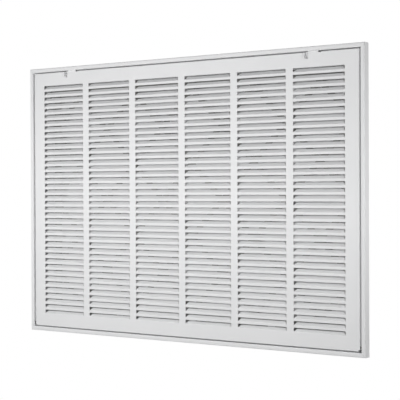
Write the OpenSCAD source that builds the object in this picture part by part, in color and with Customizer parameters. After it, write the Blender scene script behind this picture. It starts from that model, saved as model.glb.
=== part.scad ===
// Return-air filter grille: a mitred sheet-steel frame with a neck that sits in a duct opening,
// a stamped louvred door that swings down on two bottom pins and is held by two sliding latches,
// and a pleated filter in the neck.
// Millimetres. Origin: centre of the wall-screw pattern, on the wall plane (y = 0).
// +X right, +Z up, the front faces -Y, the neck reaches into the duct along +Y.

/* [Duct opening] */
// Width of the duct opening that the grille covers
duct_w = 762; // [508:12.7:914]
// Height of the duct opening that the grille covers
duct_h = 508; // [356:12.7:762]
// Gap between the neck and each side of the duct opening
neck_clear = 4.15; // [3.5:0.05:7]

/* [Frame] */
// Sheet thickness of the frame rails
frame_t = 1; // [0.8:0.1:1.4]
// Centreline radius of every fold in the frame rails
frame_bend_r = 1.5; // [1.1:0.1:2]
// Overlap of the frame on the wall, from the neck to the outer edge
flange_w = 37.5; // [34:0.5:50]
// How far the raised rim stands off the wall
rim_depth = 16; // [15.5:0.5:22]
// Width of the raised rim's front
rim_w = 8.6; // [7.5:0.1:13]
// How far the neck reaches into the duct
neck_depth = 40.7; // [36:0.1:60]
// Width of the inward lip at the back of the neck, which the filter rests on
lip_w = 12; // [6:0.5:18]
// Gap between two rails at a mitred corner
mitre_gap = 0.2; // [0.1:0.05:0.6]
// Diameter of the wall-screw holes
screw_hole_d = 5; // [4:0.1:6.5]
// Distance between the two wall screws in each side rail
side_screw_spacing = 380; // [200:5:400]
// Distance between the two wall screws in the top rail, and in the bottom rail
top_screw_spacing = 500; // [250:5:520]

/* [Corner angles] */
// Length of each leg of the corner angles
angle_leg = 34; // [28:1:60]
// Thickness of the corner angles
angle_t = 1.2; // [0.8:0.1:1.6]
// Depth of the corner angles along the neck
angle_depth = 16; // [12:0.5:17]
// Shank diameter of the rivets
rivet_d = 3; // [2.4:0.1:3.6]

/* [Door] */
// Sheet thickness of the door
door_t = 0.9; // [0.7:0.05:1.1]
// Gap between the door and the rim at each side
door_side_gap = 3.4; // [2.4:0.1:5]
// Gap between the door and the rim at the top and the bottom
door_end_gap = 1.9; // [1.8:0.1:4]
// How far the door's face lies behind the front of the rim
door_recess = 1.5; // [0.5:0.1:2]
// Depth of the door's folded edge
door_edge = 10.5; // [10:0.1:11]
// Outside radius of the fold at the door's edge
door_bend_r = 1.6; // [1.2:0.1:2.2]

/* [Louvres] */
// Distance from one column of louvres to the next
column_pitch = 127; // [90:1:160]
// Distance from one louvre to the next
row_pitch = 12.556; // [10.5:0.001:16]
// Length of a louvre at its fold
louvre_len = 111; // [60:1:118]
// Height of the slot that is cut for a louvre
slot_h = 7.6; // [5:0.1:8.5]
// How far each end of a louvre slants inward from its fold to its tip
louvre_slant = 5; // [0:0.1:8]
// Angle that a louvre is folded back from the face
louvre_angle = 44; // [25:1:70]

/* [Hinge] */
// Diameter of the hinge pins
pin_d = 4; // [3:0.1:4.6]
// Radial clearance of the pins in the door
pin_clear = 0.05; // [0.02:0.01:0.1]
// Diameter of a hinge pin's two heads
pin_head_d = 6.4; // [5.6:0.1:7]
// Height of the hinge axis above the door's bottom edge
hinge_up = 5.2; // [4.8:0.1:5.4]
// Distance of the hinge axis in front of the back of the door's folded edge
hinge_in = 5.5; // [5:0.1:5.8]
// Outside diameter of the spacer washers on the hinge pins
washer_d = 7.6; // [7.2:0.1:9.4]

/* [Latches] */
// Distance between the two latches
latch_spacing = 600; // [300:5:620]
// How far the middle between the two latches lies to the right of the middle of the door
latch_offset = -8.5; // [-12:0.5:12]
// Travel of a latch slider
latch_travel = 3.7; // [3:0.1:5]
// Height of the finger tab
tab_h = 11.4; // [9.2:0.1:12.6]
// How far the finger tab stands out in front of the door's face
tab_out = 6; // [4:0.5:10]
// Thickness of the slider's sheet
slider_t = 1; // [0.8:0.1:1.3]
// Height of the slider's plate
slider_h = 7; // [5:0.5:8]
// Length of the slider's plate to the left of the finger tab
slider_len = 33; // [28:1:45]
// Thickness of the guide's sheet
guide_t = 1.2; // [0.9:0.1:1.4]
// Length of the guide
guide_len = 22; // [14:1:24]
// Clearance between a latch's sliding pieces, and between the keeper and the door
latch_clear = 0.3; // [0.2:0.05:0.4]
// Width of the keeper that the latch slides behind
keeper_w = 21.5; // [16:0.5:24]
// How far the keeper hangs down from the rim
keeper_drop = 12; // [9:0.5:14]
// Length of the open notch beyond the keeper
notch_free = 7; // [4:0.5:9]
// How far the notch is cut down into the door's face
notch_h = 1.6; // [1.2:0.1:3]

/* [Filter] */
// Thickness of the filter
filter_t = 19; // [15:0.5:22]
// Gap between the filter and each wall of the neck
filter_clear = 1.2; // [1:0.1:3]
// Thickness of the filter frame's card
card_t = 0.8; // [0.5:0.1:1.2]
// Width of the card border round the filter's face
card_border = 19; // [12:1:28]
// Width of the card straps across the filter
strap_w = 11; // [6:0.5:18]
// Distance between the crossings of the card straps
strap_pitch = 150; // [100:5:200]
// Distance from one pleat of the filter to the next
pleat_pitch = 18.1; // [12:0.1:30]
// Thickness of the filter's pleated sheet
media_t = 1.2; // [0.8:0.1:2]
// Distance between the wires behind the pleats
wire_pitch = 50; // [30:1:75]
// Width of the wires behind the pleats
wire_t = 0.8; // [0.5:0.1:1.5]

/* [Filter tabs] */
// Width of the tabs that are bent out of the neck in front of the filter
filter_tab_w = 16; // [10:1:25]
// How far the tabs stand into the neck
filter_tab_out = 10; // [6:0.5:14]
// Distance of the outer tabs from the middle of a rail
filter_tab_spacing = 190.5; // [100:0.5:230]

/* [Hidden] */

$fn = 32;
eps = 0.05;            // how far one solid runs into the next where they are one piece
past = 1;              // how far a cutting solid runs past what it cuts
bend_steps = 4;        // flats in the arc of each fold
rivet_clear = 0.05;    // radial clearance of a rivet in its hole
filter_lip_gap = 0.2;  // between the filter and the lip behind it
filter_tab_gap = 0.4;  // between the filter and the tabs in front of it
tab_slit = 0.5;        // width of the slits that free a filter tab
card_halves_gap = 0.6; // between the two halves of the filter's card frame

// Frame, measured from the centre
neck_half_w = duct_w / 2 - neck_clear;
neck_half_h = duct_h / 2 - neck_clear;
outer_half_w = neck_half_w + flange_w;
outer_half_h = neck_half_h + flange_w;
rim_half_w = outer_half_w - rim_w;
rim_half_h = outer_half_h - rim_w;
mouth_half_w = neck_half_w - frame_t;
mouth_half_h = neck_half_h - frame_t;
screw_inset = (rim_w + flange_w) / 2;

// Door
door_y = door_recess - rim_depth;
door_inside_y = door_y + door_t;
door_back_y = door_y + door_edge;
door_half_w = rim_half_w - door_side_gap;
door_half_h = rim_half_h - door_end_gap;
hinge_y = door_back_y - hinge_in;
hinge_z = hinge_up - door_half_h;

// Louvre field, centred in the door; its outer flats may stand past the neck's mouth by a share of a pitch
flat_share = 0.1;
columns = floor(2 * mouth_half_w / column_pitch + flat_share);
rows = floor((2 * mouth_half_h - slot_h) / row_pitch) + 1;
first_slot_z = -((rows - 1) * row_pitch + slot_h) / 2;

// Latch stack, from the door's inside face backwards, and along the slot from its left end
keeper_t = guide_t - latch_clear;
keeper_y = door_inside_y + latch_clear;
slider_y = door_inside_y + guide_t + latch_clear;
slider_z = door_half_h - latch_clear - tab_h;
tab_side = 0.6;
window_w = slider_t + latch_travel + 2 * tab_side;
keeper_x = window_w + 2 * latch_clear;
tongue_x = keeper_x - 2 * latch_clear;
notch_len = keeper_x + keeper_w + notch_free;
guide_x = tab_side - latch_clear - latch_travel - guide_len;
slider_end_x = tab_side - slider_len;
shield_x = guide_x + guide_len + latch_clear;
shield_z = door_half_h - door_t - latch_clear;
shield_top_z = rim_half_h - keeper_t - latch_clear;
tab_round = 2.2;
keeper_flange = 9;

// Filter
lip_front_y = neck_depth - frame_t;
filter_back_y = lip_front_y - filter_lip_gap;
filter_front_y = filter_back_y - filter_t;
filter_half_w = mouth_half_w - filter_clear;
filter_half_h = mouth_half_h - filter_clear;
filter_tab_y = filter_front_y - frame_t - filter_tab_gap;
card_wrap = (filter_t - card_halves_gap) / 2;
media_half_w = filter_half_w - card_t;
media_half_h = filter_half_h - card_t;
pleats = round(2 * media_half_h / pleat_pitch);
pleat_step = 2 * media_half_h / pleats;
pleat_front_y = filter_front_y + card_t + media_t / 2;
pleat_back_y = filter_back_y - card_t - wire_t - media_t / 2;

// Corner angles
angle_y = 2;
rivet_y = angle_y + angle_depth / 2;
rivet_near = 12;
rivet_far = angle_leg - 8;
rivet_head_h = 1.1;
rivet_tail_h = 0.8;

powder_white = "#f2f2f0";
zinc = "#b9bcbf";
card_grey = "#d8d6d0";
media_white = "#eeeeec";

// ---- folded sheet ----

function unit(v) = v / norm(v);
function left_of(v) = [-v[1], v[0]];
function turn(a, b) = sign(a[0] * b[1] - a[1] * b[0]);

// Points of one side of a sheet that is folded by right angles along a path
function fold_arc(before, corner, after, r, off) =
    let (d0 = unit(corner - before),
         d1 = unit(after - corner),
         s = turn(d0, d1),
         centre = corner - r * d0 + r * d1)
    [for (k = [0:bend_steps])
        let (a = 90 * k / bend_steps)
        centre + (r - s * off) * (sin(a) * d0 - s * cos(a) * left_of(d0))];

function sheet_side(path, r, off) =
    let (last = len(path) - 1)
    [for (i = [0:last])
        each i == 0 ? [path[0] + off * left_of(unit(path[1] - path[0]))]
        : i == last ? [path[last] + off * left_of(unit(path[last] - path[last - 1]))]
        : fold_arc(path[i - 1], path[i], path[i + 1], r, off)];

function reversed(list) = [for (i = [len(list) - 1:-1:0]) list[i]];

module folded_sheet(path, t, r) {
    polygon(concat(sheet_side(path, r, t / 2), reversed(sheet_side(path, r, -t / 2))));
}

// Stands a flat outline in (x, z) up in the x-z plane, from y0 to y1
module plate(y0, y1) {
    translate([0, y1, 0]) rotate([90, 0, 0]) linear_extrude(y1 - y0) children();
}

// Runs an outline in (y, z) along x, from x0 to x1
module run_x(x0, x1) {
    translate([x0, 0, 0]) rotate([90, 0, 90]) linear_extrude(x1 - x0) children();
}

module rod_x(d, x0, x1) {
    translate([x0, 0, 0]) rotate([0, 90, 0]) cylinder(d = d, h = x1 - x0);
}

// ---- frame rails ----

// Centreline of a rail's section: [distance in from the outer edge, y]
function rail_path() = let (h = frame_t / 2) [
    [h, 0],
    [h, h - rim_depth],
    [rim_w - h, h - rim_depth],
    [rim_w - h, -h],
    [flange_w + h, -h],
    [flange_w + h, neck_depth - h],
    [flange_w + frame_t + lip_w, neck_depth - h]
];

// A rail along x with its outer edge at z = 0 and its inside below, mitred at both ends
module rail_blank(rail_len) {
    reach = flange_w + frame_t + lip_w + past;
    half = rail_len / 2 - mitre_gap / 2;
    intersection() {
        rotate([0, 90, 0])
            linear_extrude(rail_len, center = true)
                folded_sheet(rail_path(), frame_t, frame_bend_r);
        plate(-rim_depth - past, neck_depth + past)
            polygon([[-half - past, past], [half + past, past], [half - reach, -reach], [reach - half, -reach]]);
    }
}

// Rivet holes for the corner angles, through the neck wall near both ends of a rail
module angle_rivet_holes(neck_len) {
    for (side = [-1, 1])
        for (along = [rivet_near, rivet_far])
            translate([side * (neck_len / 2 - along), rivet_y, -flange_w - frame_t - past])
                cylinder(d = rivet_d + 2 * rivet_clear, h = frame_t + 2 * past);
}

module wall_screw_holes(spacing) {
    for (side = [-1, 1])
        translate([side * spacing / 2, -frame_t - past, -screw_inset])
            rotate([-90, 0, 0])
                cylinder(d = screw_hole_d, h = frame_t + 2 * past);
}

function filter_tab_centres() = [-filter_tab_spacing, 0, filter_tab_spacing];

// Windows in the neck that the filter tabs are bent out of
module filter_tab_windows() {
    for (x = filter_tab_centres())
        translate([x - filter_tab_w / 2 - tab_slit, filter_tab_y - filter_tab_out, -flange_w - frame_t - past])
            cube([filter_tab_w + 2 * tab_slit, filter_tab_out, frame_t + 2 * past]);
}

module filter_tabs() {
    for (x = filter_tab_centres())
        translate([x - filter_tab_w / 2, filter_tab_y, -flange_w - frame_t - filter_tab_out])
            cube([filter_tab_w, frame_t, filter_tab_out + frame_t]);
}

module long_rail(screw_spacing) {
    difference() {
        union() {
            difference() {
                rail_blank(2 * outer_half_w);
                filter_tab_windows();
            }
            filter_tabs();
        }
        angle_rivet_holes(2 * neck_half_w);
        wall_screw_holes(screw_spacing);
    }
}

module side_rail() {
    difference() {
        rail_blank(2 * outer_half_h);
        angle_rivet_holes(2 * neck_half_h);
        wall_screw_holes(side_screw_spacing);
        translate([-hinge_z, hinge_y, -rim_w - past])
            cylinder(d = pin_d + 2 * rivet_clear, h = frame_t + 2 * past);
    }
}

module frame_top_rail() {
    color(powder_white)
        difference() {
            translate([0, 0, outer_half_h]) long_rail(top_screw_spacing);
            latch_places() keeper_rivet_holes();
        }
}

module frame_bottom_rail() {
    color(powder_white)
        mirror([0, 0, 1]) translate([0, 0, outer_half_h]) long_rail(top_screw_spacing);
}

module frame_right_rail() {
    color(powder_white)
        translate([outer_half_w, 0, 0]) rotate([0, 90, 0]) side_rail();
}

module frame_left_rail() {
    color(powder_white)
        mirror([1, 0, 0]) translate([outer_half_w, 0, 0]) rotate([0, 90, 0]) side_rail();
}

// ---- corner angles and rivets ----

// A rivet along z: domed head on top of the stack, shank down through it, flat tail below
module rivet(grip) {
    rotate_extrude()
        polygon([
            [0, rivet_head_h],
            [rivet_d * 0.4, rivet_head_h * 0.9],
            [rivet_d * 0.7, rivet_head_h * 0.6],
            [rivet_d * 0.9, 0],
            [rivet_d / 2, 0],
            [rivet_d / 2, -grip],
            [rivet_d * 0.8, -grip],
            [rivet_d * 0.8, -grip - rivet_tail_h],
            [0, -grip - rivet_tail_h]
        ]);
}

// An angle round the outside of the neck's top right corner
module corner_angle() {
    color(zinc)
        difference() {
            plate(angle_y, angle_y + angle_depth)
                polygon([
                    [neck_half_w - angle_leg, neck_half_h],
                    [neck_half_w, neck_half_h],
                    [neck_half_w, neck_half_h - angle_leg],
                    [neck_half_w + angle_t, neck_half_h - angle_leg],
                    [neck_half_w + angle_t, neck_half_h + angle_t],
                    [neck_half_w - angle_leg, neck_half_h + angle_t]
                ]);
            for (along = [rivet_near, rivet_far]) {
                translate([neck_half_w - along, rivet_y, neck_half_h - past])
                    cylinder(d = rivet_d + 2 * rivet_clear, h = angle_t + 2 * past);
                translate([neck_half_w - past, rivet_y, neck_half_h - along])
                    rotate([0, 90, 0])
                        cylinder(d = rivet_d + 2 * rivet_clear, h = angle_t + 2 * past);
            }
        }
}

module corner_angle_top_right() {
    corner_angle();
}

module corner_angle_top_left() {
    mirror([1, 0, 0]) corner_angle();
}

module corner_angle_bottom_right() {
    mirror([0, 0, 1]) corner_angle();
}

module corner_angle_bottom_left() {
    mirror([1, 0, 0]) mirror([0, 0, 1]) corner_angle();
}

module one_corner_rivets() {
    for (along = [rivet_near, rivet_far]) {
        translate([neck_half_w - along, rivet_y, neck_half_h + angle_t])
            rivet(angle_t + frame_t);
        translate([neck_half_w + angle_t, rivet_y, neck_half_h - along])
            rotate([0, 90, 0]) rivet(angle_t + frame_t);
    }
}

module corner_rivets() {
    color(zinc)
        for (flip_x = [0, 1])
            for (flip_z = [0, 1])
                mirror([flip_x, 0, 0]) mirror([0, 0, flip_z]) one_corner_rivets();
}

// ---- hinge ----

// The right-hand pin: one head in the rim's channel, the other inside the door
module hinge_pin() {
    head_t = 1.2;
    tail_x = door_half_w - door_t - latch_clear;
    color(zinc)
        translate([0, hinge_y, hinge_z]) {
            rod_x(pin_head_d, rim_half_w + frame_t, rim_half_w + frame_t + head_t);
            rod_x(pin_d, tail_x - eps, rim_half_w + frame_t + eps);
            rod_x(pin_head_d, tail_x - head_t, tail_x);
        }
}

// The spacer between the rim and the door
module hinge_washer() {
    side_gap = 0.2;
    color("#2a2a2a")
        translate([0, hinge_y, hinge_z])
            difference() {
                rod_x(washer_d, door_half_w + side_gap, rim_half_w);
                rod_x(pin_d + 2 * pin_clear, door_half_w - past, rim_half_w + past);
            }
}

module hinge_pin_right() {
    hinge_pin();
}

module hinge_pin_left() {
    mirror([1, 0, 0]) hinge_pin();
}

module hinge_washer_right() {
    hinge_washer();
}

module hinge_washer_left() {
    mirror([1, 0, 0]) hinge_washer();
}

// ---- louvred door ----

// A block whose four front edges are rounded, as folds leave them
module folded_block(half_w, half_h, y0, y1, r) {
    intersection() {
        run_x(-half_w, half_w) rounded_front(half_h, y0, y1, r);
        rotate([0, 90, 0]) run_x(-half_h, half_h) rounded_front(half_w, y0, y1, r);
    }
}

// Outline in (y, z), rounded at its two front corners
module rounded_front(half, y0, y1, r) {
    polygon(concat(
        [[y1, half], [y1, -half]],
        [for (k = [0:bend_steps])
            let (a = 90 * k / bend_steps)
            [y0 + r - r * sin(a), -half + r - r * cos(a)]],
        [for (k = [0:bend_steps])
            let (a = 90 * k / bend_steps)
            [y0 + r - r * cos(a), half - r + r * sin(a)]]
    ));
}

module door_tray() {
    difference() {
        folded_block(door_half_w, door_half_h, door_y, door_back_y, door_bend_r);
        folded_block(door_half_w - door_t, door_half_h - door_t, door_inside_y, door_back_y + past,
                     door_bend_r - door_t);
    }
}

function louvre_outline() = [
    [-louvre_len / 2, 0],
    [louvre_len / 2, 0],
    [louvre_len / 2 - louvre_slant, slot_h],
    [louvre_slant - louvre_len / 2, slot_h]
];

// Moves its children to the foot of every louvre
module louvre_places() {
    for (c = [0:columns - 1])
        for (r = [0:rows - 1])
            translate([(c - (columns - 1) / 2) * column_pitch, 0, first_slot_z + r * row_pitch])
                children();
}

module slot() {
    translate([-louvre_len / 2, door_y - past, 0]) cube([louvre_len, door_t + 2 * past, slot_h]);
}

// The louvre is the metal of its own slot, less its slanted ends, folded back about the slot's lower edge
module louvre() {
    translate([0, door_y + eps, -eps])
        rotate([-louvre_angle, 0, 0])
            plate(0, door_t) polygon(louvre_outline());
}

module door_panel() {
    color(powder_white)
        union() {
            difference() {
                door_tray();
                louvre_places() slot();
                latch_places() latch_cutout();
                for (side = [-1, 1])
                    translate([side * door_half_w, hinge_y, hinge_z])
                        rod_x(pin_d + 2 * pin_clear, -2 * door_t, 2 * door_t);
            }
            louvre_places() louvre();
        }
}

// ---- latches ----

// Moves its children to the left end of a latch's notch
module latch_at(side) {
    translate([latch_offset + side * latch_spacing / 2 - window_w / 2, 0, 0]) children();
}

module latch_places() {
    for (side = [-1, 1])
        latch_at(side) children();
}

// The notch in the door's top edge, with the finger tab's window at its left end
module latch_cutout() {
    window_h = door_half_h - slider_z + tab_side;
    translate([0, door_y - past, slider_z - tab_side])
        cube([window_w, door_t + 2 * past, window_h + past]);
    translate([0, door_y - past, door_half_h - notch_h])
        cube([notch_len, door_edge + 2 * past, notch_h + past]);
}

// An angle under the rim: the slider passes behind its hanging leg
module keeper() {
    flange_z = rim_half_h - keeper_t;
    color(powder_white)
        difference() {
            union() {
                translate([keeper_x, keeper_y, rim_half_h - keeper_drop])
                    cube([keeper_w, keeper_t, keeper_drop]);
                translate([keeper_x, keeper_y, flange_z])
                    cube([keeper_w, keeper_flange, keeper_t]);
            }
            keeper_rivet_holes();
        }
}

function keeper_rivet_xs() = [keeper_x + keeper_w / 4, keeper_x + keeper_w * 3 / 4];
function keeper_rivet_y() = keeper_y + (keeper_t + keeper_flange) / 2;

module keeper_rivet_holes() {
    for (x = keeper_rivet_xs())
        translate([x, keeper_rivet_y(), rim_half_h - keeper_t - past])
            cylinder(d = rivet_d + 2 * rivet_clear, h = keeper_t + frame_t + 2 * past);
}

module latch_keeper_left() {
    latch_at(-1) keeper();
}

module latch_keeper_right() {
    latch_at(1) keeper();
}

module keeper_rivets() {
    color(zinc)
        latch_places()
            for (x = keeper_rivet_xs())
                translate([x, keeper_rivet_y(), rim_half_h + frame_t])
                    rivet(frame_t + keeper_t);
}

// A plate behind the door that fills the window, with a finger tab that comes out through it
module slider() {
    color(powder_white)
        union() {
            translate([slider_end_x, slider_y, slider_z])
                cube([tongue_x - slider_end_x, slider_t, slider_h]);
            translate([shield_x, slider_y, slider_z])
                cube([tongue_x - shield_x, slider_t, shield_z - slider_z]);
            translate([latch_clear, slider_y, slider_z])
                cube([tongue_x - latch_clear, slider_t, shield_top_z - slider_z]);
            run_x(tab_side, tab_side + slider_t) tab_outline();
        }
}

// Side view of the finger tab in (y, z), rounded at its two front corners
module tab_outline() {
    shoulder_y = door_y - 1;
    front = door_y - tab_out;
    foot = slider_z;
    head = slider_z + tab_h;
    polygon(concat(
        [[slider_y + slider_t, foot + slider_h], [slider_y + slider_t, foot]],
        [for (k = [0:bend_steps])
            let (a = 90 * k / bend_steps)
            [front + tab_round - tab_round * sin(a), foot + tab_round - tab_round * cos(a)]],
        [for (k = [0:bend_steps])
            let (a = 90 * k / bend_steps)
            [front + tab_round - tab_round * cos(a), head - tab_round + tab_round * sin(a)]],
        [[shoulder_y, head], [shoulder_y, foot + slider_h]]
    ));
}

module latch_slider_left() {
    latch_at(-1) slider();
}

module latch_slider_right() {
    latch_at(1) slider();
}

// A channel on the door's inside, whose two lips hold the slider
module guide() {
    wall_y1 = slider_y + slider_t + latch_clear + guide_t;
    low = slider_z - latch_clear - guide_t;
    high = slider_z + slider_h + latch_clear + guide_t;
    lip = 1.8;
    color(zinc)
        run_x(guide_x, guide_x + guide_len)
            polygon([
                [door_inside_y, low],
                [wall_y1, low],
                [wall_y1, low + guide_t + lip],
                [wall_y1 - guide_t, low + guide_t + lip],
                [wall_y1 - guide_t, low + guide_t],
                [slider_y - latch_clear, low + guide_t],
                [slider_y - latch_clear, high - guide_t],
                [wall_y1 - guide_t, high - guide_t],
                [wall_y1 - guide_t, high - guide_t - lip],
                [wall_y1, high - guide_t - lip],
                [wall_y1, high],
                [door_inside_y, high]
            ]);
}

module latch_guide_left() {
    latch_at(-1) guide();
}

module latch_guide_right() {
    latch_at(1) guide();
}

// ---- filter ----

// Straps at 45 degrees whose crossings are strap_pitch apart, in (x, z)
module strap_lattice() {
    reach = filter_half_w + filter_half_h;
    step = strap_pitch / sqrt(2);
    count = ceil(reach / strap_pitch);
    for (way = [45, -45])
        for (k = [-count:count])
            rotate(way)
                translate([-reach, (k + 0.5) * step - strap_w / 2])
                    square([2 * reach, strap_w]);
}

module card_face() {
    difference() {
        square([2 * filter_half_w, 2 * filter_half_h], center = true);
        square([2 * (filter_half_w - card_border), 2 * (filter_half_h - card_border)], center = true);
    }
    intersection() {
        strap_lattice();
        square([2 * filter_half_w - card_border, 2 * filter_half_h - card_border], center = true);
    }
}

// Half of the card frame: a die-cut face with its edges folded back round the filter
module card_half(face_y, wrap_y0, wrap_y1) {
    color(card_grey) {
        plate(face_y, face_y + card_t) card_face();
        plate(wrap_y0, wrap_y1)
            difference() {
                square([2 * filter_half_w, 2 * filter_half_h], center = true);
                square([2 * (filter_half_w - card_t), 2 * (filter_half_h - card_t)], center = true);
            }
    }
}

module filter_front_card() {
    card_half(filter_front_y, filter_front_y + card_t / 2, filter_front_y + card_wrap);
}

module filter_back_card() {
    card_half(filter_back_y - card_t, filter_back_y - card_wrap, filter_back_y - card_t / 2);
}

// Zigzag of the pleats in (y, z); the folds lie along x
function pleat_line(shift) = [
    for (k = [0:2 * pleats])
        [(k % 2 == 0 ? pleat_back_y : pleat_front_y) + shift, (k - pleats) / 2 * pleat_step]
];

module pleat_sheet(shift, t) {
    polygon(concat(pleat_line(shift - t / 2), reversed(pleat_line(shift + t / 2))));
}

module filter_media() {
    color(media_white)
        run_x(-media_half_w, media_half_w) pleat_sheet(0, media_t);
}

module filter_wires() {
    count = floor((media_half_w - wire_t) / wire_pitch);
    color(zinc)
        for (k = [-count:count])
            run_x(k * wire_pitch - wire_t / 2, k * wire_pitch + wire_t / 2)
                pleat_sheet(media_t / 2 + wire_t / 2, wire_t);
}

frame_top_rail();
frame_bottom_rail();
frame_left_rail();
frame_right_rail();
corner_angle_top_left();
corner_angle_top_right();
corner_angle_bottom_left();
corner_angle_bottom_right();
corner_rivets();
hinge_pin_left();
hinge_pin_right();
hinge_washer_left();
hinge_washer_right();
door_panel();
latch_keeper_left();
latch_keeper_right();
keeper_rivets();
latch_guide_left();
latch_guide_right();
latch_slider_left();
latch_slider_right();
filter_front_card();
filter_back_card();
filter_media();
filter_wires();
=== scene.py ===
"""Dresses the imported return-air filter grille and sets up its studio and camera.

The louvred door, the rivets, the pleated fleece and its wires are made by Geometry Nodes, and the folded
sheet parts are finer copies of the CAD solids with broken edges. Everything is in metres, in the CAD's own
frame: +X right, +Z up, and the front of the grille faces -Y.
"""

import logging
import math
from dataclasses import dataclass, field
from enum import Enum
from functools import cache
from typing import Any, Callable, Sequence

import bmesh
import bpy
from bpy.types import Material, Node, NodeSocket, NodeTree, Object
from mathutils import Matrix, Vector
from mathutils.geometry import delaunay_2d_cdt


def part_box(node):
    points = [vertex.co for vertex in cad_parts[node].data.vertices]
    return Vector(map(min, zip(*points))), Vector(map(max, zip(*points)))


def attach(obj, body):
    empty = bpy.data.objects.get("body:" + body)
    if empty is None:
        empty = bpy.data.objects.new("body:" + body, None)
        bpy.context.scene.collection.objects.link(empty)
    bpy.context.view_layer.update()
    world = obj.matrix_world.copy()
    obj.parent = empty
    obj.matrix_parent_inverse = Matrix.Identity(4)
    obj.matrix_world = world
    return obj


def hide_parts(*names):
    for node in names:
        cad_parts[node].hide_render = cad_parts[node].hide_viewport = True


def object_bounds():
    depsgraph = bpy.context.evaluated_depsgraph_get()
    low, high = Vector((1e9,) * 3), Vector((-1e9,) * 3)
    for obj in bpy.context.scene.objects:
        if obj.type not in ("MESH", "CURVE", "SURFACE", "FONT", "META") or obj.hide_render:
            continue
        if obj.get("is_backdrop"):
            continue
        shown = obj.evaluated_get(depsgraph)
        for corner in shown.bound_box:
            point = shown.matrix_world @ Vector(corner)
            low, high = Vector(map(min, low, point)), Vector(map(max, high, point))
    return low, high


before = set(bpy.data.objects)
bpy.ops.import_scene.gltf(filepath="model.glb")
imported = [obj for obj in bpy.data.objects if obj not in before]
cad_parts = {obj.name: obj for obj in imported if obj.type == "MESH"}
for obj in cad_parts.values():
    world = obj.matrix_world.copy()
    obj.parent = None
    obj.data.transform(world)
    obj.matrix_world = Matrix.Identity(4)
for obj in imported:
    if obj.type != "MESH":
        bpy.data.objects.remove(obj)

MM = 0.001
IMAGE_SIDE = 400
LOG = logging.getLogger("grille")

MERGE_DISTANCE = 0.002 * MM  # CAD vertices that are closer than this are one
FLAT_ANGLE = math.radians(0.5)  # CAD faces that turn by less than this are one face
SHARP_ANGLE = math.radians(35)  # Edges that turn by more than this stay sharp
BROKEN_EDGE_SEGMENTS = 2
FLAT_FACE_WEIGHT = 100  # How much more a large flat face counts in its corners' normals
FILL_TOLERANCE = 1e-9
SHARE, FIRST_COLOUR, SECOND_COLOUR = 0, 6, 7  # The Mix node's inputs for colours
MIXED_COLOUR = 2  # The Mix node's output for colours
WHITE = (1.0, 1.0, 1.0, 1.0)
EVEN = (1.0, 1.0, 1.0)
STOOD_UP = (math.pi / 2, 0.0, 0.0)  # The turn that stands a flat grid up to face -Y

Point = tuple[float, float, float]
Inputs = dict[str | int, Any] | Sequence[Any]

# Named points of the reference view, x to the right and y down, in its 400 x 400 frame
IMAGE_POINTS: dict[str, tuple[float | None, float | None]] = {
    "object_left": (30.0, None),
    "object_right": (369.0, None),
    "object_top": (None, 41.4),
    "object_bottom": (None, 358.6),
    "rim_corner_top_left": (31.0, 69.0),
    "rim_corner_bottom_left": (31.5, 330.5),
    "rim_corner_top_right": (365.5, 41.6),
    "rim_corner_bottom_right": (365.8, 358.4),
    "finger_tab_left": (65.0, 74.8),
    "finger_tab_right": (305.2, 55.3),
    "notch_gap_left": (77.5, 71.0),
    "notch_gap_right": (319.8, 51.5),
    "first_slot_column_1": (63.5, 84.9),
    "last_slot_column_1": (63.5, 311.4),
    "first_slot_column_6": (317.0, 66.7),
    "last_slot_column_6": (317.0, 329.9),
    "seam_corner_bottom_right": (360.0, 352.4),
}


class Body(Enum):
    """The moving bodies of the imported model."""

    FRAME = "frame"
    DOOR = "door"
    LEFT_LATCH = "left_latch"
    RIGHT_LATCH = "right_latch"


class Slot(Enum):
    """The record's material slots."""

    POWDER_COAT = "powder_coat"
    ZINC_STEEL = "zinc_steel"
    NYLON = "nylon"
    CARD = "card"
    FLEECE = "filter_fleece"


class Side(Enum):
    """The two sides of the grille, as seen from the room."""

    LEFT = "left"
    RIGHT = "right"


# ---- nodes and colours ----


def linear(hex_code: str) -> tuple[float, float, float, float]:
    """Turns an sRGB hex colour into linear light.

    Args:
        hex_code: The colour as #RRGGBB.

    Returns:
        Red, green, blue and an alpha of 1.
    """
    levels = [int(hex_code[i : i + 2], 16) / 255 for i in (1, 3, 5)]
    red, green, blue = (v / 12.92 if v <= 0.04045 else ((v + 0.055) / 1.055) ** 2.4 for v in levels)
    return red, green, blue, 1.0


class NodeGraph:
    """A node tree in the making: a material's, the world's or a shape's."""

    def __init__(self, tree: NodeTree) -> None:
        """Takes the tree that nodes are added to."""
        self.tree = tree

    def feed(self, node: Node, inputs: Inputs) -> None:
        """Gives a node's inputs their values and links.

        Args:
            node: The node.
            inputs: What each input takes, by name or number or in their order: a value, an output socket, a
                node, for its first output, or a list of nodes to join.
        """
        for key, value in inputs.items() if isinstance(inputs, dict) else enumerate(inputs):
            if not isinstance(value, Node | NodeSocket | list):
                node.inputs[key].default_value = value
                continue
            for source in value if isinstance(value, list) else [value]:
                socket = source.outputs[0] if isinstance(source, Node) else source
                self.tree.links.new(socket, node.inputs[key])

    def add(self, kind: str, inputs: Inputs = (), **settings: Any) -> Node:
        """Adds a node with its settings, values and links.

        Args:
            kind: The node's type name.
            inputs: What its inputs take, as feed has it.
            settings: The node's own properties.

        Returns:
            The new node.
        """
        node = self.tree.nodes.new(kind)
        for name, value in settings.items():
            setattr(node, name, value)
        self.feed(node, inputs)
        return node


@dataclass(frozen=True)
class Noise:
    """A cloudy noise: how large, fine and twisted its clouds are, and its scale along each axis."""

    size: float
    detail: float = 2.0
    distortion: float = 0.0
    stretch: Point = EVEN


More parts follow.
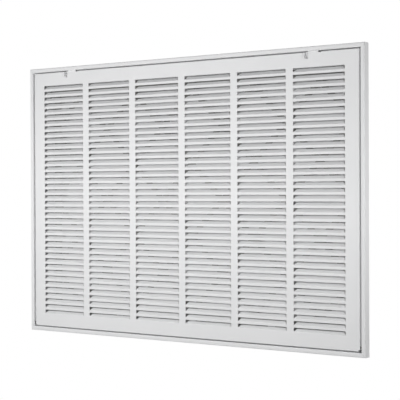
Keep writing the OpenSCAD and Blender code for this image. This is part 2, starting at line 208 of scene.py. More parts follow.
class Surface(NodeGraph):
    """A material in the making, whose textures take object coordinates."""

    def __init__(self, name: str) -> None:
        """Starts a material.

        Args:
            name: The finish's plain name.
        """
        self.material = bpy.data.materials.new(name)
        self.material.use_nodes = True
        super().__init__(self.material.node_tree)
        self.shader = self.tree.nodes["Principled BSDF"]
        self.spot = self.add("ShaderNodeTexCoord").outputs["Object"]


# ---- finishes ----


class Finish:
    """A finish: two colours in clouds, a roughness that may follow the clouds, and a fine relief."""

    name: str
    slot: Slot
    colours: tuple[str, str]
    clouds: Noise
    grain: Noise
    grain_depth: float
    grain_strength: float
    roughness: float | tuple[float, float]
    rest: Inputs

    @classmethod
    def marked(cls, surface: Surface, tone: Node) -> Node:
        """Returns the mix of colours with the finish's marks on it, where it has any."""
        return tone

    @classmethod
    @cache
    def material(cls) -> Material:
        """Builds the finish at its first use.

        Returns:
            Its material, which its pieces share.
        """
        surface = Surface(cls.name)
        patterns = {}
        for noise in dict.fromkeys((cls.clouds, cls.grain)):
            spot = surface.spot
            if noise.stretch != EVEN:
                spot = surface.add("ShaderNodeMapping", {"Vector": spot, "Scale": noise.stretch})
            look = {"Scale": 1 / noise.size, "Detail": noise.detail, "Distortion": noise.distortion}
            patterns[noise] = surface.add("ShaderNodeTexNoise", {"Vector": spot, **look})
        clouds, (first, second) = patterns[cls.clouds], map(linear, cls.colours)
        mix = {SHARE: clouds, FIRST_COLOUR: first, SECOND_COLOUR: second}
        tone = surface.add("ShaderNodeMix", mix, data_type="RGBA")
        rough = cls.roughness
        if isinstance(rough, tuple):
            ends = {"To Min": rough[0], "To Max": rough[1]}
            rough = surface.add("ShaderNodeMapRange", {"Value": clouds, **ends})
        relief = {"Height": patterns[cls.grain], "Strength": cls.grain_strength, "Distance": cls.grain_depth}
        look = {"Roughness": rough, "Normal": surface.add("ShaderNodeBump", relief)}
        look |= {"Base Color": cls.marked(surface, tone).outputs[MIXED_COLOUR]}
        surface.feed(surface.shader, look | cls.rest)
        return surface.material


class PowderCoat(Finish):
    """White polyester powder coat, sprayed dry on sheet steel and baked.

    It gives the eye a satin white skin whose faint orange peel softens every highlight, a little glossier
    where the coat has flowed thicker.
    """

    name = "powder_coat_white"
    slot = Slot.POWDER_COAT
    colours = ("#E7E8E9", "#EDEDEE")
    clouds = Noise(70 * MM, detail=3.0)
    grain = Noise(3.0 * MM, detail=1.0)
    grain_depth = 0.03 * MM
    grain_strength = 0.6
    roughness = (0.50, 0.40)
    rest = {"IOR": 1.5}


class ZincPlate(Finish):
    """Barrel-plated zinc on steel, with a clear passivate.

    It gives the eye a dull grey metal with faint blue and straw clouds and soft streaks.
    """

    name = "zinc_plated_steel"
    slot = Slot.ZINC_STEEL
    colours = ("#BFC3C6", "#B5B6AE")
    clouds = Noise(9 * MM, detail=4.0)
    grain = Noise(2 * MM, stretch=(0.15, 1.0, 1.0))
    grain_depth = 0.02 * MM
    grain_strength = 0.5
    roughness = (0.32, 0.5)
    rest = {"Metallic": 1.0}


class BlackNylon(Finish):
    """Carbon-black nylon, punched from sheet.

    It gives the eye a near-black with a soft, waxy shine, a little greyer where the punch has scuffed it.
    """

    name = "nylon_black"
    slot = Slot.NYLON
    colours = ("#1F1F20", "#2B2B2B")
    clouds = Noise(4 * MM)
    grain = Noise(1 * MM)
    grain_depth = 0.02 * MM
    grain_strength = 0.4
    roughness = 0.45
    rest = {"IOR": 1.53}


class DieCutCard(Finish):
    """Grey-white beverage card, die-cut and folded.

    It gives the eye a matt board with long fibres and small grey flecks. Real fibres are about 1 mm long:
    they are drawn 3 mm long, so that a close view shows them.
    """

    name = "die_cut_card"
    slot = Slot.CARD
    colours = ("#BEBDBA", "#A9A8A5")
    clouds = grain = Noise(3 * MM, detail=5.0, stretch=(0.25, 1.0, 1.0))
    grain_depth = 0.06 * MM
    grain_strength = 0.7
    roughness = 0.88
    rest = {"IOR": 1.45}
    fleck_colour = "#7F7E7B"
    fleck_pitch = 5 * MM
    fleck_edge = (0.06, 0.12)
    fleck_share = 0.7

    @classmethod
    def marked(cls, surface: Surface, tone: Node) -> Node:
        """Adds the flecks.

        Args:
            surface: The material in the making.
            tone: The mix that gives the bare board's colour.

        Returns:
            The mix that gives the flecked colour.
        """
        near, far = cls.fleck_edge
        centre = surface.add("ShaderNodeTexVoronoi", {"Vector": surface.spot, "Scale": 1 / cls.fleck_pitch})
        edge = {"From Min": near, "From Max": far, "To Min": cls.fleck_share, "To Max": 0.0}
        share = surface.add("ShaderNodeMapRange", {"Value": centre, **edge})
        mix = {SHARE: share, FIRST_COLOUR: tone.outputs[MIXED_COLOUR]}
        mix[SECOND_COLOUR] = linear(cls.fleck_colour)
        return surface.add("ShaderNodeMix", mix, data_type="RGBA")


class NeedledFleece(Finish):
    """White polyester filter fleece, carded, needled and heat-set in pleats.

    It gives the eye a soft, hazy white whose loose fibres bundle in clouds, with no shine but a pale bloom
    at grazing angles, and light from behind glows through it. Real fibres are 20 microns: they are drawn
    1.5 mm wide, so that a close view shows them.
    """

    name = "needled_fleece"
    slot = Slot.FLEECE
    colours = ("#E0E0E2", "#F2F2F3")
    clouds = Noise(14 * MM, detail=6.0, distortion=1.5)
    grain = Noise(1.5 * MM, detail=4.0, distortion=3.0)
    grain_depth = 0.5 * MM
    grain_strength = 0.8
    roughness = 0.95
    rest = {"Sheen Weight": 0.25, "Sheen Roughness": 0.6, "Subsurface Weight": 1.0}
    rest |= {"Subsurface Radius": EVEN, "Subsurface Scale": 4.0 * MM}


# ---- meshes ----


def mesh_object(name: str, vertices: Sequence[Sequence[float]], faces: Sequence[Sequence[int]]) -> Object:
    """Makes an object at the origin from vertices and faces.

    Args:
        name: The piece's name.
        vertices: Points in metres.
        faces: Vertex numbers of each face, anticlockwise from outside.

    Returns:
        The linked object.
    """
    mesh = bpy.data.meshes.new(name)
    mesh.from_pydata([tuple(v) for v in vertices], [], [tuple(f) for f in faces])
    mesh.validate()
    piece = bpy.data.objects.new(name, mesh)
    bpy.context.scene.collection.objects.link(piece)
    return piece


def bake_modifiers(piece: Object) -> None:
    """Turns a piece's evaluated shape into its own plain mesh and removes its modifiers.

    Args:
        piece: The object with live modifiers.
    """
    graph = bpy.context.evaluated_depsgraph_get()
    graph.update()
    baked = bpy.data.meshes.new_from_object(piece.evaluated_get(graph))
    rough = piece.data
    piece.modifiers.clear()
    piece.data = baked
    baked.name = piece.name
    bpy.data.meshes.remove(rough)


def shade_by_angle(piece: Object) -> None:
    """Shades a plain mesh's folds smooth and keeps its flats flat and its edges sharp.

    Args:
        piece: The piece.
    """
    piece.data.shade_smooth()
    piece.data.set_sharp_from_angle(angle=SHARP_ANGLE)
    weighted = piece.modifiers.new("flat faces", "WEIGHTED_NORMAL")
    weighted.keep_sharp = True
    weighted.weight = FLAT_FACE_WEIGHT
    bake_modifiers(piece)


def clean_mesh(node: str) -> bmesh.types.BMesh:
    """Copies a CAD node's mesh with its vertices joined.

    Args:
        node: The CAD node.

    Returns:
        The copy, for the caller to free.
    """
    shape = bmesh.new()
    shape.from_mesh(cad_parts[node].data)
    bmesh.ops.remove_doubles(shape, verts=shape.verts, dist=MERGE_DISTANCE)
    return shape


def refined_copy(name: str, node: str, edge_radius: float) -> Object:
    """Copies a CAD node as clean faces, with its cut edges broken and its folds shaded smooth.

    Args:
        name: The new piece's name.
        node: The CAD node that it is a copy of.
        edge_radius: How far each sharp edge is rounded.

    Returns:
        The new piece.
    """
    shape = clean_mesh(node)
    bmesh.ops.dissolve_limit(shape, angle_limit=FLAT_ANGLE, verts=shape.verts, edges=shape.edges)
    sharp = [e for e in shape.edges if e.is_manifold and e.calc_face_angle() > SHARP_ANGLE]
    rounding = {"offset": edge_radius, "segments": BROKEN_EDGE_SEGMENTS, "profile": 0.5}
    bmesh.ops.bevel(shape, geom=sharp, affect="EDGES", clamp_overlap=True, **rounding)
    shape.verts.index_update()
    faces = [[v.index for v in face.verts] for face in shape.faces]
    piece = mesh_object(name, [v.co.copy() for v in shape.verts], faces)
    shape.free()
    shade_by_angle(piece)
    return piece


def dress(piece: Object, finish: type[Finish], body: Body, node: str) -> Object:
    """Gives a finished piece its material and body, and hides the CAD node that it stands for.

    Args:
        piece: The piece, in place.
        finish: The piece's finish.
        body: The body that it rides on.
        node: The CAD node that it replaces.

    Returns:
        The piece.
    """
    piece.data.materials.clear()
    piece.data.materials.append(finish.material())
    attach(piece, body.value)
    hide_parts(node)
    LOG.info("%s: %d faces, rides on %s", piece.name, len(piece.data.polygons), body.value)
    return piece


def dressed_copy(name: str, node: str, edge_radius: float, finish: type[Finish], body: Body) -> Object:
    """Makes a refined copy of a CAD node, dresses it and returns it."""
    return dress(refined_copy(name, node, edge_radius), finish, body, node)


class ShapeTree(NodeGraph):
    """A Geometry Nodes tree in the making, with named inputs."""

    def __init__(self, name: str) -> None:
        """Starts a tree that takes and gives a geometry.

        Args:
            name: What the tree makes.
        """
        super().__init__(bpy.data.node_groups.new(name, "GeometryNodeTree"))
        for way in ("INPUT", "OUTPUT"):
            self.tree.interface.new_socket("Geometry", in_out=way, socket_type="NodeSocketGeometry")
        self.source = self.add("NodeGroupInput")
        self.result = self.add("NodeGroupOutput")

    def inputs(self, kind: str, *names: str) -> list[NodeSocket]:
        """Adds named inputs of one type.

        Args:
            kind: The type, such as Float or Int.
            names: Their names.

        Returns:
            The sockets that give their values.
        """
        for name in names:
            self.tree.interface.new_socket(name, in_out="INPUT", socket_type="NodeSocket" + kind)
        return [self.source.outputs[name] for name in names]

    def end(self, geometry: Node, sharp_angle: float = SHARP_ANGLE) -> None:
        """Ends the tree: smooth folds, real geometry instead of instances, and a material.

        Args:
            geometry: The node that gives the geometry to finish.
            sharp_angle: Edges that turn by more than this stay sharp.
        """
        (material,) = self.inputs("Material", "Material")
        real = self.add("GeometryNodeRealizeInstances", (geometry,))
        smooth = self.add("GeometryNodeSetShadeSmooth", (real,))
        turn = self.add("GeometryNodeInputMeshEdgeAngle")
        folded = self.add("FunctionNodeCompare", (turn, sharp_angle), operation="GREATER_THAN")
        sharp = {"Geometry": smooth, "Selection": folded, "Shade Smooth": False}
        edged = self.add("GeometryNodeSetShadeSmooth", sharp, domain="EDGE")
        coated = self.add("GeometryNodeSetMaterial", {"Geometry": edged, "Material": material})
        self.feed(self.result, (coated,))

    def put_on(self, piece: Object, values: dict[str, Any]) -> None:
        """Puts the tree on a piece as a modifier and sets its inputs by their identifiers.

        Args:
            piece: The object that the tree shapes.
            values: Input name and value.
        """
        modifier = piece.modifiers.new(self.tree.name, "NODES")
        modifier.node_group = self.tree
        for socket in self.tree.interface.items_tree:
            if socket.in_out == "INPUT" and socket.name in values:
                modifier[socket.identifier] = values[socket.name]


@dataclass
class Skin:
    """The front skin of a sheet in the making, with no thickness."""

    vertices: list[Point] = field(default_factory=list)
    faces: list[list[int]] = field(default_factory=list)

    def fill(
        self,
        loops: Sequence[Sequence[Vector]],
        place: Callable[[Vector], Point],
        flip: bool = False,
    ) -> None:
        """Fills a flat region between an outer loop and its holes.

        Args:
            loops: The outer loop first and then the holes.
            place: Gives the place of a point of the region.
            flip: Whether the faces turn the other way.
        """
        edges, start = [], 0
        for loop in loops:
            edges += [(start + i, start + (i + 1) % len(loop)) for i in range(len(loop))]
            start += len(loop)
        points = [p for loop in loops for p in loop]
        bounded = 1  # Leaves out triangles beyond the loops
        made, _, triangles, *_ = delaunay_2d_cdt(points, edges, [], bounded, FILL_TOLERANCE)
        first = len(self.vertices)
        self.vertices += [place(p) for p in made]
        for triangle in triangles:
            middle = sum((made[i] for i in triangle), Vector((0.0, 0.0))) / 3
            if inside(middle, loops[0]) and not any(inside(middle, hole) for hole in loops[1:]):
                face = [first + i for i in triangle]
                self.faces.append(face[::-1] if flip else face)

    def strip(
        self,
        rows: Sequence[tuple[float, float]],
        ends: Sequence[tuple[float, bool]],
        place: Callable[[float, float, float], Point],
        flip: bool = False,
    ) -> None:
        """Adds a folded strip along a side.

        Args:
            rows: How far out and how deep each of its rows is.
            ends: Where it starts and ends along the side, and whether that end is mitred.
            place: Gives the place of a point from its run along the side, its distance out and its depth.
            flip: Whether the faces turn the other way.
        """
        (start, start_mitred), (end, end_mitred) = ends
        first = len(self.vertices)
        for out, y in rows:
            sides = start - out * start_mitred, end + out * end_mitred
            self.vertices += [place(along, out, y) for along in sides]
        for a in range(first, len(self.vertices) - 2, 2):
            face = [a, a + 1, a + 3, a + 2]
            self.faces.append(face[::-1] if flip else face)


def inside(point: Vector, loop: Sequence[Vector]) -> bool:
    """Tells whether a point lies inside a loop.

    Args:
        point: The point.
        loop: The corners of the loop.

    Returns:
        True if it does.
    """
    crossings = 0
    for a, b in zip(loop, [*loop[1:], loop[0]]):
        if (a.y > point.y) != (b.y > point.y):
            crossings += point.x < a.x + (point.y - a.y) / (b.y - a.y) * (b.x - a.x)
    return crossings % 2 == 1


# ---- sub-assemblies ----


@dataclass
class MitredFrame:
    """The four folded rails, with the corner angles riveted round the neck."""

    edge_radius: float = 0.2 * MM
    angle_edge_radius: float = 0.15 * MM
    coat: type[Finish] = PowderCoat
    zinc: type[Finish] = ZincPlate

    def build(self) -> list[Object]:
        """Builds and dresses the rails and angles.

        Returns:
            The pieces.
        """
        ends, sides = ("top", "bottom"), [side.value for side in Side]
        rails = [(f"{place}_rail", f"frame_{place}_rail") for place in (*ends, *sides)]
        corners = [f"{end}_{side}" for end in ends for side in sides]
        angles = [(f"angle_{corner}", f"corner_angle_{corner}") for corner in corners]
        pieces = [dressed_copy(*names, self.edge_radius, self.coat, Body.FRAME) for names in rails]
        pieces += [dressed_copy(*names, self.angle_edge_radius, self.zinc, Body.FRAME) for names in angles]
        return pieces


@dataclass
class Rivets:
    """Domed rivets, set by Geometry Nodes where the CAD's rivets are."""

    name: str
    node: str
    radius: float = 1.5 * MM
    head_radius: float = 2.7 * MM
    head_height: float = 1.1 * MM
    tail_radius: float = 2.4 * MM
    tail_height: float = 0.8 * MM
    sides: int = 24
    rings: int = 12
    zinc: type[Finish] = ZincPlate

    def places(self) -> tuple[list[Vector], list[Vector], float]:
        """Finds the CAD's rivets, which lie along x or stand along z with their heads outward.

        Returns:
            The point under each head, the way each head faces, and the grip between head and tail.
        """
        alike = 0.1 * MM
        shape = clean_mesh(self.node)
        seats, ways, grip, done = [], [], 0.0, set()
        for seed in shape.verts:
            if seed in done:
                continue
            solid, edge = set(), {seed}
            while edge:
                solid |= edge
                edge = {e.other_vert(v) for v in edge for e in v.link_edges} - solid
            done |= solid
            low, high = (Vector([pick(v.co[i] for v in solid) for i in range(3)]) for pick in (min, max))
            size, middle = high - low, (low + high) / 2
            axis = 0 if abs(size.x - size.y) > alike and abs(size.y - size.z) < alike else 2
            grip = size[axis] - self.head_height - self.tail_height
            way = Vector((0.0, 0.0, 0.0))
            way[axis] = math.copysign(1.0, middle[axis])
            seats.append(middle + way * (size[axis] / 2 - self.head_height))
            ways.append(way)
        shape.free()
        return seats, ways, grip

    def tree(self) -> ShapeTree:
        """Makes the tree that sets a rivet on each point, along the point's axis.

        Returns:
            The tree.
        """
        tree = ShapeTree("rivet_set")
        shank_radius, grip = tree.inputs("Float", "Shank Radius", "Grip")
        head_radius, head_height = tree.inputs("Float", "Head Radius", "Head Height")
        tail_radius, tail_height = tree.inputs("Float", "Tail Radius", "Tail Height")
        round_ball = {"Segments": self.sides, "Rings": self.rings, "Radius": 1.0}
        ball = tree.add("GeometryNodeMeshUVSphere", round_ball)
        size = tree.add("ShaderNodeCombineXYZ", (head_radius, head_radius, head_height))
        squashed = tree.add("GeometryNodeTransform", {"Geometry": ball, "Scale": size})
        spot = tree.add("GeometryNodeInputPosition")
        x, y, z = tree.add("ShaderNodeSeparateXYZ", (spot,)).outputs
        below = tree.add("FunctionNodeCompare", (z, 0.0), operation="LESS_THAN")
        raised = tree.add("ShaderNodeCombineXYZ", (x, y))
        flat = {"Geometry": squashed, "Selection": below, "Position": raised}
        parts = [tree.add("GeometryNodeSetPosition", flat)]
        for radius, length, drop in ((shank_radius, grip, 0.0), (tail_radius, tail_height, grip)):
            rod = {"Vertices": self.sides, "Radius": radius, "Depth": length}
            peg = tree.add("GeometryNodeMeshCylinder", rod)
            half = tree.add("ShaderNodeMath", (length, -0.5), operation="MULTIPLY")
            middle = tree.add("ShaderNodeMath", (half, drop), operation="SUBTRACT")
            lowered = {"Geometry": peg, "Translation": tree.add("ShaderNodeCombineXYZ", {"Z": middle})}
            parts.append(tree.add("GeometryNodeTransform", lowered))
        way = tree.add("GeometryNodeInputNamedAttribute", {"Name": "head_way"}, data_type="FLOAT_VECTOR")
        turned = tree.add("FunctionNodeAlignRotationToVector", {"Vector": way}, axis="Z")
        rivet = tree.add("GeometryNodeJoinGeometry", (parts,))
        copies = {"Points": tree.source, "Instance": rivet, "Rotation": turned}
        tree.end(tree.add("GeometryNodeInstanceOnPoints", copies))
        return tree

    def build(self) -> Object:
        """Builds and dresses the rivets.

        Returns:
            All of them, as one piece.
        """
        seats, ways, grip = self.places()
        piece = mesh_object(self.name, seats, [])
        axis = piece.data.attributes.new("head_way", "FLOAT_VECTOR", "POINT")
        axis.data.foreach_set("vector", [x for way in ways for x in way])
        sizes = {"Shank Radius": self.radius, "Grip": grip, "Material": self.zinc.material()}
        sizes |= {"Head Radius": self.head_radius, "Head Height": self.head_height}
        sizes |= {"Tail Radius": self.tail_radius, "Tail Height": self.tail_height}
        self.tree().put_on(piece, sizes)
        bake_modifiers(piece)
        return dress(piece, self.zinc, Body.FRAME, self.node)


@dataclass
class Hinge:
    """A pin and its washer at each bottom corner of the door."""

    pin_edge_radius: float = 0.25 * MM
    washer_edge_radius: float = 0.1 * MM
    zinc: type[Finish] = ZincPlate
    nylon: type[Finish] = BlackNylon

    def build(self) -> list[Object]:
        """Builds and dresses the pins and washers.

        Returns:
            The pieces.
        """
        plan = (("pin", self.pin_edge_radius, self.zinc), ("washer", self.washer_edge_radius, self.nylon))
        return [
            dressed_copy(f"{part}_{side.value}", f"hinge_{part}_{side.value}", *rest, Body.FRAME)
            for side in Side
            for part, *rest in plan
        ]


@dataclass
class LouvredDoor:
    """The stamped door: one sheet with folded edges and louvres that are folded out of their own slots."""

    columns: int = 6
    rows: int = 40
    column_pitch: float = 127 * MM
    row_pitch: float = 12.556 * MM
    sheet: float = 0.9 * MM
    edge_fold_radius: float = 1.6 * MM
    louvre_length: float = 111 * MM
    slot_height: float = 7.6 * MM
    louvre_slant: float = 5.0 * MM
    louvre_angle: float = math.radians(44)
    louvre_fold_radius: float = 1.5 * MM
    fold_steps: int = 3
    edge_steps: int = 6
    corner_gap: float = 0.3 * MM
    corner_relief: float = 1.2 * MM
    window_width: float = 5.9 * MM
    window_height: float = 12.3 * MM
    notch_length: float = 35 * MM
    notch_lefts: tuple[float, float] = (-311.45 * MM, 288.55 * MM)
    pin_hole_radius: float = 2.05 * MM
    pin_hole_sides: int = 24
    weld_distance: float = 0.005 * MM
    coat: type[Finish] = PowderCoat

    def __post_init__(self) -> None:
        """Takes the door's place and its hinge line from the CAD."""
        low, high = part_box("door_panel")
        self.face_y, self.back_y = low.y, high.y
        self.half_width, self.half_height = high.x, high.z
        self.flat_x = self.half_width - self.edge_fold_radius
        self.flat_z = self.half_height - self.edge_fold_radius
        pin_low, pin_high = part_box("hinge_pin_right")
        self.pin_centre = Vector(((pin_low.y + pin_high.y) / 2, (pin_low.z + pin_high.z) / 2))

    def cell(self) -> Object:
        """Makes the front skin of one louvre with the face round its slot, as a sheet with no thickness.

        Returns:
            The cell, centred on the origin in x and on the slot in z.
        """
        radius, angle = self.louvre_fold_radius, self.louvre_angle
        low, high = -self.slot_height / 2, self.slot_height / 2
        base = low - radius * math.tan(angle / 2)
        skin = Skin()
        for half, bottom, top in (
            (self.column_pitch / 2, -self.row_pitch / 2, self.row_pitch / 2),
            (self.louvre_length / 2, base, high),
        ):
            skin.vertices += [(-half, 0, bottom), (half, 0, bottom), (half, 0, top), (-half, 0, top)]
        skin.faces += [[i, (i + 1) % 4, (i + 1) % 4 + 4, i + 4] for i in range(4)]
        profile = []
        for step in range(1, self.fold_steps + 1):
            turn = angle * step / self.fold_steps
            profile.append((radius * turn, radius * (1 - math.cos(turn)), base + radius * math.sin(turn)))
        blade = self.slot_height
        profile.append((blade, blade * math.sin(angle), low + blade * math.cos(angle)))
        left, right = 4, 5  # The blade starts from the slot's lower corners
        for along, y, z in profile:
            half = self.louvre_length / 2 - self.louvre_slant * along / blade
            start = len(skin.vertices)
            skin.vertices += [(-half, y, z), (half, y, z)]
            skin.faces.append([left, right, start + 1, start])
            left, right = start, start + 1
        return mesh_object("louvre_cell", skin.vertices, skin.faces)

    def face_loops(self) -> list[list[Vector]]:
        """Outlines the plain border of the face, in x and z.

        Returns:
            The outer loop where the edge folds start, with the latch windows and the notched corners cut in,
            and the inner loop round the louvre field, with a point at each cell.
        """
        half_w = self.columns * self.column_pitch / 2
        half_h = self.rows * self.row_pitch / 2
        xs = [-half_w + i * self.column_pitch for i in range(self.columns + 1)]
        zs = [-half_h + i * self.row_pitch for i in range(self.rows + 1)]
        inner = [(x, -half_h) for x in xs[:-1]] + [(half_w, z) for z in zs[:-1]]
        inner += [(x, half_h) for x in xs[:0:-1]] + [(-half_w, z) for z in zs[:0:-1]]
        right, top = self.flat_x, self.flat_z
        near, low, small = right - self.corner_relief, self.corner_relief - top, self.corner_gap
        outer = [(-near, -top), (near, -top), (near, low), (right, low)]
        outer += [(right, top - small), (right - small, top)]
        sill = self.half_height - self.window_height
        for left in reversed(self.notch_lefts):
            edge = left + self.window_width
            outer += [(left + self.notch_length, top), (edge, top), (edge, sill), (left, sill), (left, top)]
        outer += [(-right + small, top), (-right, top - small), (-right, low), (-near, low)]
        return [[Vector(p) for p in outer], [Vector(p) for p in inner]]

    def border(self) -> Object:
        """Makes the front skin of the face's border and its edges, folded back and open at the latches.

        Returns:
            The sheet, with no thickness.
        """
        skin = Skin()
        skin.fill(self.face_loops(), lambda p: (p.x, self.face_y, p.y))
        wide, tall, radius = self.flat_x, self.flat_z, self.edge_fold_radius
        turns = [math.pi / 2 * step / self.edge_steps for step in range(self.edge_steps + 1)]
        fold = [(radius * math.sin(a), self.face_y + radius * (1 - math.cos(a))) for a in turns]
        whole = [*fold, (radius, self.back_y)]
        first, last = self.corner_gap - wide, wide - self.corner_gap
        starts = [first] + [x + self.notch_length for x in self.notch_lefts]
        for start, end in zip(starts, [*self.notch_lefts, last]):
            ends = (start, start == first), (end, end == last)
            skin.strip(whole, ends, lambda s, out, y: (s, y, tall + out))
        square = wide - self.corner_relief
        skin.strip(whole, ((-square, False), (square, False)), lambda s, out, y: (-s, y, -tall - out))
        low, high = self.corner_relief - tall, tall - self.corner_gap
        for way in (1, -1):
            ends = (low, False), (high, True)
            skin.strip(fold, ends, lambda s, out, y: (way * (wide + out), y, s), flip=way > 0)
            self.pin_flat(skin, way, low, high + radius)
        return mesh_object("door_border", skin.vertices, skin.faces)

    def pin_flat(self, skin: Skin, way: int, low: float, high: float) -> None:
        """Adds the flat behind a side's fold, with the hole for the hinge pin.

        Args:
            skin: The skin that it's added to.
            way: 1 on the right and -1 on the left.
            low: Its lower end.
            high: Its upper end.
        """
        front = self.face_y + self.edge_fold_radius
        flat = [Vector(p) for p in ((front, low), (self.back_y, low), (self.back_y, high), (front, high))]
        turns = [2 * math.pi * i / self.pin_hole_sides for i in range(self.pin_hole_sides)]
        hole = [self.pin_centre + self.pin_hole_radius * Vector((math.cos(a), math.sin(a))) for a in turns]
        skin.fill([flat, hole], lambda p: (way * self.half_width, p.x, p.y), flip=way < 0)

    def tree(self) -> ShapeTree:
        """Makes the tree that lays the louvre cells in rows and columns and joins them to the border.

        Returns:
            The tree.
        """
        tree = ShapeTree("louvre_field")
        (cell,) = tree.inputs("Object", "Louvre Cell")
        columns, rows = tree.inputs("Int", "Columns", "Rows")
        column_pitch, row_pitch, face_y = tree.inputs("Float", "Column Pitch", "Row Pitch", "Face Depth")
        spans = []
        for count, pitch in ((columns, column_pitch), (rows, row_pitch)):
            gaps = tree.add("ShaderNodeMath", (count, 1.0), operation="SUBTRACT")
            spans.append(tree.add("ShaderNodeMath", (gaps, pitch), operation="MULTIPLY"))
        grid = tree.add("GeometryNodeMeshGrid", (*spans, columns, rows))
        depth = tree.add("ShaderNodeCombineXYZ", {"Y": face_y})
        upright = {"Geometry": grid, "Rotation": STOOD_UP, "Translation": depth}
        points = tree.add("GeometryNodeTransform", upright)
        shape = tree.add("GeometryNodeObjectInfo", {"Object": cell}).outputs["Geometry"]
        copies = tree.add("GeometryNodeInstanceOnPoints", {"Points": points, "Instance": shape})
        cells = tree.add("GeometryNodeRealizeInstances", (copies,))
        whole = tree.add("GeometryNodeJoinGeometry", ([cells, tree.source],))
        weld = {"Geometry": whole, "Distance": self.weld_distance}
        tree.end(tree.add("GeometryNodeMergeByDistance", weld))
        return tree

    def build(self) -> Object:
        """Builds and dresses the door sheet.

        Returns:
            The piece.
        """
        cell = self.cell()
        piece = self.border()
        piece.name = "louvred_door"
        sizes = {"Louvre Cell": cell, "Columns": self.columns, "Rows": self.rows, "Face Depth": self.face_y}
        sizes |= {"Column Pitch": self.column_pitch, "Row Pitch": self.row_pitch}
        sizes |= {"Material": self.coat.material()}
        self.tree().put_on(piece, sizes)
        wall = piece.modifiers.new("sheet", "SOLIDIFY")
        wall.thickness = self.sheet
        wall.offset = -1.0
        wall.use_even_offset = True
        wall.use_quality_normals = True
        bake_modifiers(piece)
        bpy.data.objects.remove(cell)
        shade_by_angle(piece)
        return dress(piece, self.coat, Body.DOOR, "door_panel")


@dataclass
class SlidingLatch:
    """One latch: the keeper under the rim, the guide inside the door and the slider with its finger tab."""

    side: Side
    edge_radius: float = 0.25 * MM
    guide_edge_radius: float = 0.15 * MM
    coat: type[Finish] = PowderCoat
    zinc: type[Finish] = ZincPlate

    def build(self) -> list[Object]:
        """Builds and dresses the keeper, guide and slider.

        Returns:
            The pieces.
        """
        slider_body = Body.LEFT_LATCH if self.side is Side.LEFT else Body.RIGHT_LATCH
        plan = (
            ("keeper", self.edge_radius, self.coat, Body.FRAME),
            ("guide", self.guide_edge_radius, self.zinc, Body.DOOR),
            ("slider", self.edge_radius, self.coat, slider_body),
        )
        side = self.side.value
        return [dressed_copy(f"{part}_{side}", f"latch_{part}_{side}", *rest) for part, *rest in plan]


